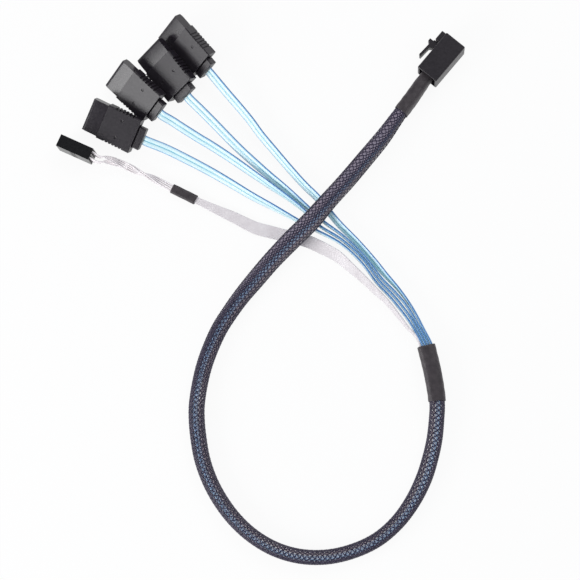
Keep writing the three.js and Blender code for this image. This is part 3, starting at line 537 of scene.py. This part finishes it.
def add_mesh(name, vertices, faces, material, smooth=True, **attributes):
    """A mesh object. Each attribute holds one value for each vertex."""
    mesh = bpy.data.meshes.new(name)
    mesh.from_pydata(np.asarray(vertices).tolist(), [], faces)
    mesh.polygons.foreach_set("use_smooth", [smooth] * len(mesh.polygons))
    for key, values in attributes.items():
        attribute = mesh.attributes.new(key, "FLOAT", "POINT")
        attribute.data.foreach_set("value", np.asarray(values, np.float32))
    mesh.update()
    piece = bpy.data.objects.new(name, mesh)
    bpy.context.scene.collection.objects.link(piece)
    piece.data.materials.append(material)
    return piece


def ring_faces(rings, count, first=0, wrap=False, caps=True):
    """Quads between successive rings of count points, with end caps unless the rings wrap round."""
    faces = []
    for i in range(rings if wrap else rings - 1):
        here = first + i * count
        there = first + ((i + 1) % rings) * count
        for k in range(count):
            n = (k + 1) % count
            faces.append((here + k, here + n, there + n, there + k))
    if caps and not wrap:
        faces.append(tuple(first + k for k in reversed(range(count))))
        faces.append(tuple(first + (rings - 1) * count + k for k in range(count)))
    return faces


def loft(name, rings, material, wrap=False, **attributes):
    """A skin over successive rings of points."""
    rings = np.asarray(rings)
    count = rings.shape[1]
    faces = ring_faces(len(rings), count, wrap=wrap)
    return add_mesh(name, rings.reshape(-1, 3), faces, material, **attributes)


def section_rings(section, point, across, normal):
    """One ring of points for each place along a route."""
    x, y = np.asarray(section).T
    return (
        point[:, None, :]
        + across[:, None, :] * x[None, :, None]
        + normal[:, None, :] * y[None, :, None]
    )


def two_lobes(width, thickness, waist):
    """Two rounded lobes with a valley between them, counter-clockwise."""
    angle = np.linspace(0, math.pi, 17)
    x = np.cos(angle) * width / 2
    lobe = 1 - ((np.abs(x) - width / 4) / (width / 4)) ** 2
    y = np.sqrt(np.clip(lobe, 0, 1)) * thickness / 2
    y[1:-1] = np.maximum(y[1:-1], waist / 2)
    top = np.stack([x, y], axis=1)
    return np.vstack([top, -top[1:-1]])


def conductor_row(width, thickness, count):
    """Flat cable outline with one shallow bump for each conductor."""
    x = np.linspace(width / 2, -width / 2, count * 6 + 1)
    bump = np.abs(np.sin(np.pi * (x + width / 2) / (width / count)))
    y = thickness / 2 * (0.84 + 0.16 * bump)
    y[[0, -1]] *= 0.4
    top = np.stack([x, y], axis=1)
    return np.vstack([top, -top])


OVAL_POWER = 3.2
TUBE_SIDES = 48
WIRE_SIDES = 14


def on_oval(angle):
    """Unit oval between an ellipse and a rectangle, at angles in radians."""
    x = np.sign(np.cos(angle)) * np.abs(np.cos(angle)) ** (2 / OVAL_POWER)
    y = np.sign(np.sin(angle)) * np.abs(np.sin(angle)) ** (2 / OVAL_POWER)
    return x, y


def oval(half_width, half_height):
    x, y = on_oval(np.arange(TUBE_SIDES) * 2 * math.pi / TUBE_SIDES)
    return np.stack([x * half_width, y * half_height], axis=1)


def circle(radius):
    angle = np.arange(WIRE_SIDES) * 2 * math.pi / WIRE_SIDES
    return np.stack([np.cos(angle), np.sin(angle)], axis=1) * radius


# Trunk route and the bundle in it

hd_forward, hd_left = plan_axes(HD_HEADING)
hd_middle = np.array([HD_X, HD_Y, HD_HEIGHT / 2])
RIBBON_START = HD_LENGTH / 2 - HD_MOUTH_DEPTH
trunk = Route([
    [*(hd_middle + hd_forward * RIBBON_START), -88, 1],
    [*(hd_middle + hd_forward * (-HD_LENGTH / 2 - TRUNK_LEAD)), -88, 1],
    *TRUNK_ROUTE,
])
NECK_START = RIBBON_START + HD_LENGTH / 2 - NECK_INSET
NECK_END = NECK_START + NECK_LENGTH
REAL_STEP = (trunk.length - NECK_END) / round((trunk.length - NECK_END) / TRUNK_STEP)
SLEEVE_START = NECK_START + NECK_LENGTH / NECK_STEPS
NECK_STATIONS = [NECK_START + NECK_LENGTH * i / NECK_STEPS for i in range(NECK_STEPS)] + [
    NECK_END + REAL_STEP * i for i in range(len(NECK_FLAT) - NECK_STEPS)
]
SLEEVE_END = trunk.length - REAL_STEP
COLLAR_START = trunk.length - 3 * REAL_STEP


def trunk_frame(distance):
    """Points, and directions across and through the bundle, along the trunk."""
    point, side, rise, roll, wide = trunk.at(distance)
    flat, high = side * wide, rise / wide
    across = flat * np.cos(roll) + high * np.sin(roll)
    normal = high * np.cos(roll) - flat * np.sin(roll)
    return point, across, normal


def cover_frame(distance):
    """The trunk's frame as the sleeve and tubes have it, drawn in towards the square plug."""
    point, across, normal = trunk_frame(distance)
    narrow = np.interp(distance, NECK_STATIONS[:2], [NECK_NARROW, 1])
    flat = np.interp(distance, NECK_STATIONS, NECK_FLAT)
    return point, across * narrow[:, None], normal * flat[:, None]


# Flat ribbons: on edge side by side in the trunk, then each on its own way

RING_SPACING = 0.7
TRUNK_RINGS = 210
COLLAR_RINGS = 6
# How each ribbon is painted inside the sleeve, as light and shade: 0.3 is navy painted shade, 0.6 grey-brown
# for the white ribbon in shade, and 1 pale blue brightened against the shade in the sleeve
PAINTED_SLEEVE_LIGHT_TONES = [0.5, 1.0, 0.85, 0.62]


def ribbon_places(offset, rows):
    """Points and directions of a whole ribbon, from the square plug to its far end."""
    inside = np.linspace(0, trunk.length, TRUNK_RINGS)
    point, across, normal = trunk_frame(inside)
    parts = [(point + across * offset, -normal, across)]
    before, start = (
        (p + a * offset)[0]
        for p, a, n in (trunk_frame(np.array([trunk.length - back])) for back in (REAL_STEP, 0))
    )
    beyond = Route([[*before, -90, 1], [*start, -90, 1], *rows])
    skipped = np.linalg.norm(start - before)
    distance = np.arange(skipped + RING_SPACING, beyond.length, RING_SPACING)
    distance = np.append(distance, beyond.length)
    point, side, rise, roll, wide = beyond.at(distance)
    parts.append((point, *rolled(side, rise, roll, wide)))
    return [np.vstack(column) for column in zip(*parts)]


def declare_cord(piece, path, diameter, far_end, **facts):
    """Attach a cord to the cable's body; its centre line in plan millimetres is not used."""
    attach(piece, "cable")


def sata_axes(place):
    """Origin, forward, left and up of a rolled SATA plug, in plan millimetres."""
    x, y, heading, roll = place
    forward, left = plan_axes(heading)
    lean = math.radians(roll)
    origin = np.array([x, y, BODY_WIDTH / 2 * math.sin(lean)])
    low_left = left * math.cos(lean) - UP * math.sin(lean)
    upright = UP * math.cos(lean) + left * math.sin(lean)
    return origin, forward, low_left, upright


RELIEF_BACK = -BODY_LENGTH - FIT - RELIEF_LENGTH


def add_data_ribbon(index):
    """One blue ribbon from the square plug through the sleeve to its drive plug."""
    place = SATA_PLACES[index]
    origin, forward, left, upright = sata_axes(place)
    ends = [
        [*(origin + forward * x + upright * BODY_THICKNESS / 2), -place[3], 1]
        for x in (RELIEF_BACK - FIT - RIBBON_LEAD, RELIEF_BACK - FIT)
    ]
    offset = index * (RIBBON_THICKNESS + SNUG) + RIBBON_THICKNESS / 2 - BUNDLE_HALF_WIDTH
    point, across, normal = ribbon_places(offset, [*RIBBON_ROUTES[index], *ends])
    section = two_lobes(RIBBON_WIDTH, RIBBON_THICKNESS, RIBBON_WAIST)
    rings = to_part(section_rings(section, point, across, normal))
    share = np.tile(np.abs(section[:, 0]) / (RIBBON_WIDTH / 2), len(rings))
    in_sleeve = np.arange(len(rings)) < TRUNK_RINGS - COLLAR_RINGS
    # Each ribbon's painted light and shade along its stretch inside the sleeve
    covered = np.repeat(in_sleeve * PAINTED_SLEEVE_LIGHT_TONES[index], len(section))
    piece = loft(f"data_ribbon_{index + 1}", rings, BLUE, across=share, covered=covered)
    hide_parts(f"sata_ribbon_{index + 1}")
    declare_cord(piece, point, RIBBON_WIDTH, "object")


for i in range(len(SATA_PLACES)):
    add_data_ribbon(i)

# Heat-shrink tubes

TUBE_RINGS = 40
SPLIT_RINGS = 16
LIP = 0.12
NECK_RIPPLE = 0.02
COLLAR_RIPPLE = 0.012
SPLIT_RIPPLE = 0.02


def wrinkles(length, depth):
    """Share by which each point of the outer skin stands out, in waves along and round the tube."""
    along = np.arange(length)[:, None]
    around = np.arange(TUBE_SIDES)[None, :]
    folds = np.sin(along * 0.9 + 2.1 * np.sin(around * 0.4))
    return 1 + depth * folds * np.sin(around * 0.7 + along * 0.13)


def shell_rings(point, across, normal, half_width, half_height, wall, ripple):
    """Outer skin, rounded lips and inner skin of a tube, as one closed loop of rings."""
    outer = oval(half_width, half_height)
    inner = oval(half_width - wall, half_height - wall)
    middle = oval(half_width - wall / 2, half_height - wall / 2)
    centre = point[:, None, :]
    skin = section_rings(outer, point, across, normal)
    skin = centre + (skin - centre) * wrinkles(len(point), ripple)[:, :, None]
    lips = section_rings(middle, point, across, normal)
    start_lip = lips[:1] - unit(point[1:2] - point[0:1])[:, None, :] * LIP
    end_lip = lips[-1:] + unit(point[-1:] - point[-2:-1])[:, None, :] * LIP
    lining = section_rings(inner, point, across, normal)[::-1]
    return np.vstack([start_lip, skin, end_lip, lining])


def add_tube(name, replaced, start, end, ripple):
    """A shrink tube over the sleeve, between two distances along the trunk."""
    point, across, normal = cover_frame(np.linspace(start, end, TUBE_RINGS))
    half_width = SLEEVE_HALF_WIDTH + SNUG + SHRINK_WALL
    half_height = SLEEVE_HALF_HEIGHT + SNUG + SHRINK_WALL
    rings = shell_rings(point, across, normal, half_width, half_height, SHRINK_WALL, ripple)
    piece = loft(name, to_part(rings), SHRINK, wrap=True)
    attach(piece, "cable")
    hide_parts(replaced)
    return piece


neck = add_tube("neck_shrink_tube", "neck_heat_shrink", NECK_START, NECK_END, NECK_RIPPLE)
collar = add_tube(
    "collar_shrink_tube", "collar_heat_shrink", COLLAR_START, trunk.length, COLLAR_RIPPLE,
)

# White sideband ribbon, with the shrink tube over the place where it splits into wires

split_way = unit(SPLIT_END - SPLIT_START)


def add_split_tube():
    share = np.linspace(0, 1, SPLIT_RINGS)[:, None]
    point = SPLIT_START + (SPLIT_END - SPLIT_START) * share
    side = unit(np.cross(UP, split_way))
    rise = np.cross(split_way, side)
    rings = shell_rings(
        point, np.tile(side, (SPLIT_RINGS, 1)), np.tile(rise, (SPLIT_RINGS, 1)),
        SPLIT_HALF_WIDTH, SPLIT_HALF_HEIGHT, SHRINK_WALL, SPLIT_RIPPLE,
    )
    piece = loft("split_shrink_tube", to_part(rings), SHRINK, wrap=True)
    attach(piece, "cable")
    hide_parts("split_heat_shrink")
    return piece


def add_sideband_ribbon():
    folded = [[*SPLIT_START, 0, SPLIT_FOLD], [*(SPLIT_START + split_way * SPLIT_ENTRY), 0, SPLIT_FOLD]]
    offset = BUNDLE_HALF_WIDTH - SIDEBAND_THICKNESS / 2
    point, across, normal = ribbon_places(offset, [*SIDEBAND_ROUTE, *folded])
    section = conductor_row(SIDEBAND_WIDTH, SIDEBAND_THICKNESS, CONDUCTORS)
    piece = loft("white_sideband_ribbon", to_part(section_rings(section, point, across, normal)), WHITE)
    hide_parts("sideband_ribbon")
    declare_cord(piece, point, SIDEBAND_WIDTH, "fitting", with_pieces=[add_split_tube()])


add_sideband_ribbon()

# Single wires: a two by four pattern that turns upright and opens to the socket's pitch

header_forward, header_left = plan_axes(HEADER_HEADING)
header_middle = np.array([HEADER_X, HEADER_Y, HEADER_HEIGHT / 2])
WIRE_RINGS = 90


def smoothstep(value, low_edge, high_edge):
    share = np.clip((value - low_edge) / (high_edge - low_edge), 0, 1)
    return share * share * (3 - 2 * share)


def add_wires():
    start = SPLIT_END - split_way * SPLIT_ENTRY
    back = TERMINAL_BACK - FIT
    socket_rear = -HEADER_LENGTH / 2
    rear = [header_middle + header_forward * x for x in (socket_rear - WIRE_LEAD, socket_rear, back)]
    route = Route([list(p) for p in (start, SPLIT_END, *WIRE_ROUTE, *rear)])
    share = np.linspace(0, 1, WIRE_RINGS)
    point, side, rise = route.at(share * route.length)[:3]
    in_tube = SPLIT_ENTRY / route.length
    at_header = 1 - (HEADER_LENGTH / 2 + back) / route.length
    turn = np.radians(WIRE_TWIST * smoothstep(share, in_tube, at_header) - WIRE_TWIST)
    pitch = WIRE_PITCH + (PIN_PITCH - WIRE_PITCH) * smoothstep(share, WIRE_SPREAD_FROM, at_header)
    number = 0
    for row in range(4):
        for column in range(2):
            number += 1
            x = (column - 0.5) * pitch
            y = (row - 1.5) * pitch
            sideways = x * np.cos(turn) - y * np.sin(turn)
            upward = x * np.sin(turn) + y * np.cos(turn)
            path = point + side * sideways[:, None] + rise * upward[:, None]
            rings = to_part(section_rings(circle(WIRE_DIAMETER / 2), path, side, rise))
            piece = loft(f"white_wire_{number}", rings, WIRE_WHITE_LIGHTENED)
            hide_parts(f"sideband_wire_{number}")
            declare_cord(piece, path, WIRE_DIAMETER, "object")


add_wires()

# Braid: strands in two directions that pass over and under each other round the bundle

BRAID_STRANDS = 15
BRAID_LAY = 30
STRAND_WIDTH = 0.38
STRAND_THICKNESS = 0.11
WEAVE_DEPTH = 0.08
BRAID_RADIUS_INSET = 0.12
STEPS_PER_CROSSING = 3
SLEEVE_PATH_POINTS = 160


def braid_surface(distance, angle, lift):
    """Points on the sleeve and outward directions there."""
    point, across, normal = cover_frame(distance)
    x, y = on_oval(angle)
    half_width = SLEEVE_HALF_WIDTH - BRAID_RADIUS_INSET
    half_height = SLEEVE_HALF_HEIGHT - BRAID_RADIUS_INSET
    out = across * (x / half_width)[:, None] + normal * (y / half_height)[:, None]
    out = unit(out)
    place = point + across * (x * half_width)[:, None] + normal * (y * half_height)[:, None]
    return place + out * lift[:, None], out


def braid_piece(name, direction):
    """All strands of one direction, 1 for left and -1 for right, as one mesh."""
    crossing = BRAID_LAY / (2 * BRAID_STRANDS)
    distance = np.arange(SLEEVE_START, SLEEVE_END, crossing / STEPS_PER_CROSSING)
    weave = direction * WEAVE_DEPTH * np.cos(math.pi * distance / crossing)
    vertices = []
    faces = []
    across = []
    corners = np.array([[-1, -1], [1, -1], [1, 1], [-1, 1]]) * [STRAND_WIDTH / 2, STRAND_THICKNESS / 2]
    for strand in range(BRAID_STRANDS):
        angle = 2 * math.pi * (strand / BRAID_STRANDS + direction * distance / BRAID_LAY)
        middle, out = braid_surface(distance, angle, weave)
        along = unit(np.gradient(middle, axis=0))
        wide = unit(np.cross(out, along))
        out = np.cross(along, wide)
        rings = section_rings(corners, middle, wide, out)
        first = len(vertices) * len(distance) * len(corners)
        faces += ring_faces(len(rings), len(corners), first)
        vertices.append(rings.reshape(-1, 3))
        across.append(np.tile([0.0, 1.0, 1.0, 0.0], len(rings)))
    return add_mesh(
        name, to_part(np.vstack(vertices)), faces, STRAND, smooth=False, across=np.concatenate(across),
    )


braid_left = braid_piece("braid_strands_left", 1)
braid_right = braid_piece("braid_strands_right", -1)
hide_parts("braided_sleeve")
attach(braid_right, "cable")
sleeve_path = trunk_frame(np.linspace(SLEEVE_START, SLEEVE_END, SLEEVE_PATH_POINTS))[0]
declare_cord(
    braid_left, sleeve_path, 2 * SLEEVE_HALF_WIDTH, "fitting",
    stiffness="stiff", with_pieces=[braid_right, neck, collar],
)

# Moulded pieces: the solid's own form with its edges rounded, by these widths in millimetres

HOUSING_EDGE = 0.28
LATCH_EDGE = 0.15
HEADER_EDGE = 0.1
DRIVE_PLUG_EDGE = 0.07
RELIEF_EDGE = 0.2
FLAT_ANGLE = math.radians(1.0)
EDGE_ANGLE = math.radians(30)
MERGE_DISTANCE = 1e-6


def rounded_copy(name, source, material, edge, body="cable"):
    """A copy of a solid with rounded edges, which rides on its body and replaces the solid."""
    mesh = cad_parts[source].data.copy()
    mesh.materials.clear()
    mesh.materials.append(material)
    shape = bmesh.new()
    shape.from_mesh(mesh)
    bmesh.ops.remove_doubles(shape, verts=shape.verts, dist=MERGE_DISTANCE)
    bmesh.ops.dissolve_limit(shape, angle_limit=FLAT_ANGLE, verts=shape.verts, edges=shape.edges)
    shape.to_mesh(mesh)
    shape.free()
    piece = bpy.data.objects.new(name, mesh)
    bpy.context.scene.collection.objects.link(piece)
    bevel = piece.modifiers.new("rounded_edges", "BEVEL")
    bevel.width = edge * MM
    bevel.segments = 2
    bevel.limit_method = "ANGLE"
    bevel.angle_limit = EDGE_ANGLE
    bevel.use_clamp_overlap = False
    mesh.polygons.foreach_set("use_smooth", [True] * len(mesh.polygons))
    normals = piece.modifiers.new("flat_faces", "WEIGHTED_NORMAL")
    normals.keep_sharp = True
    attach(piece, body)
    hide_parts(source)
    return piece


rounded_copy("square_plug_housing", "hd_housing", PLASTIC, HOUSING_EDGE)
rounded_copy("latch_lever", "hd_latch_lever", PLASTIC, LATCH_EDGE, "latch")
rounded_copy("header_socket_housing", "header_housing", HEADER_PLASTIC, HEADER_EDGE)
for i, place in enumerate(SATA_PLACES, 1):
    origin, forward, left, upright = sata_axes(place)
    step = float(to_part(origin) @ forward)
    plastic = moulded_plastic(
        f"drive_plug_plastic_{i}", (0.014, 0.011, 0.016), (0.024, 0.02, 0.026), 0.38,
        smooth=(tuple(forward), step),
    )
    for name, source, edge in (
        ("housing", "housing", DRIVE_PLUG_EDGE),
        ("relief", "strain_relief", RELIEF_EDGE),
    ):
        rounded_copy(f"drive_plug_{name}_{i}", f"sata_{i}_{source}", plastic, edge)

# Solids that keep their own mesh

CARD_CONTACT_LENGTH = 4.5
CARD_CONTACT_PITCH = 0.75


def paint(source, material):
    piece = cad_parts[source]
    if not piece.material_slots:
        piece.data.materials.append(None)
    for slot in piece.material_slots:
        slot.material = material


paint("hd_card_holder", PLASTIC)
contact_start = to_part(hd_middle + hd_forward * (HD_LENGTH / 2 - CARD_CONTACT_LENGTH))
board = gold_tipped(
    "circuit_board", (0.015, 0.1, 0.04), tuple(hd_forward), float(contact_start @ hd_forward),
    CARD_CONTACT_PITCH * MM,
)
for i in (1, 2):
    paint(f"hd_paddle_card_{i}", board)
for i, place in enumerate(SATA_PLACES, 1):
    origin, forward, left, upright = sata_axes(place)
    line = float(to_part(origin + forward * (NOSE_LENGTH - SLOT_DEPTH - FIT / 2)) @ forward)
    paint(f"sata_{i}_contact_wafer", gold_tipped(f"contacts_{i}", (0.03, 0.03, 0.032), tuple(forward), line))
for i in range(1, 9):
    paint(f"header_terminal_{i}", GOLD)

# Floor, lamps and world

FLOOR_HALF_SIZE = 4.0
FLOOR_WHITE = 0.92


def seen_directly(tree):
    """1 for what the camera, a reflection or glass sees, 0 for light that falls on things."""
    path = node(tree, "ShaderNodeLightPath")
    total = math_node(tree, "ADD", path.outputs["Is Camera Ray"], path.outputs["Is Glossy Ray"])
    total = math_node(tree, "ADD", total, path.outputs["Is Transmission Ray"])
    return math_node(tree, "MINIMUM", total, 1.0)


def add_floor():
    """White to the camera and in reflections, and a pale diffuse floor to other light."""
    half = FLOOR_HALF_SIZE
    corners = [(-half, -half, 0), (half, -half, 0), (half, half, 0), (-half, half, 0)]
    material = bpy.data.materials.new("floor")
    material.use_nodes = True
    tree = material.node_tree
    tree.nodes.clear()
    lit = node(tree, "ShaderNodeBsdfDiffuse", Color=(0.86, 0.86, 0.86, 1))
    glow = node(tree, "ShaderNodeEmission", Color=(1, 1, 1, 1), Strength=1.0)
    share = math_node(tree, "MULTIPLY", seen_directly(tree), FLOOR_WHITE)
    mixed = node(tree, "ShaderNodeMixShader")
    tree.links.new(share, mixed.inputs[0])
    tree.links.new(lit.outputs[0], mixed.inputs[1])
    tree.links.new(glow.outputs[0], mixed.inputs[2])
    out = node(tree, "ShaderNodeOutputMaterial")
    tree.links.new(mixed.outputs[0], out.inputs["Surface"])
    floor = add_mesh("floor", corners, [(0, 1, 2, 3)], material, smooth=False)


def add_lamp(name, place, size, power):
    """A soft rectangular lamp that points at the part's origin."""
    data = bpy.data.lights.new(name, "AREA")
    data.shape = "RECTANGLE"
    data.size, data.size_y = size
    data.energy = power
    lamp = bpy.data.objects.new(name, data)
    lamp.location = place
    lamp.rotation_euler = (-Vector(place)).to_track_quat("-Z", "Y").to_euler()
    bpy.context.scene.collection.objects.link(lamp)


def add_world():
    """White behind the object, soft light from all round, and a darker zenith in reflections."""
    world = bpy.data.worlds.new("world")
    bpy.context.scene.world = world
    world.use_nodes = True
    tree = world.node_tree
    tree.nodes.clear()
    path = node(tree, "ShaderNodeLightPath")
    split = node(tree, "ShaderNodeSeparateXYZ")
    tree.links.new(node(tree, "ShaderNodeTexCoord").outputs["Generated"], split.inputs["Vector"])
    mirrored = ramp(tree, split.outputs["Z"], [
        (0.0, (1, 1, 1)),
        (0.5, (0.4, 0.4, 0.42)),
        (0.85, (0.08, 0.08, 0.09)),
    ])
    seen = mix_color(tree, path.outputs["Is Glossy Ray"], (0.56, 0.57, 0.6), mirrored)
    seen = mix_color(tree, path.outputs["Is Camera Ray"], seen, (1.0, 1.0, 1.0))
    background = node(tree, "ShaderNodeBackground", Strength=1.0)
    tree.links.new(seen, background.inputs["Color"])
    out = node(tree, "ShaderNodeOutputWorld")
    tree.links.new(background.outputs[0], out.inputs["Surface"])


add_floor()
add_world()
add_lamp("left_softbox", (-0.62, -0.42, 0.36), (0.5, 0.36), 3.8)
add_lamp("top_fill", (0.5, 0.6, 0.9), (0.5, 0.5), 3.2)
bpy.context.scene.view_settings.view_transform = "Standard"
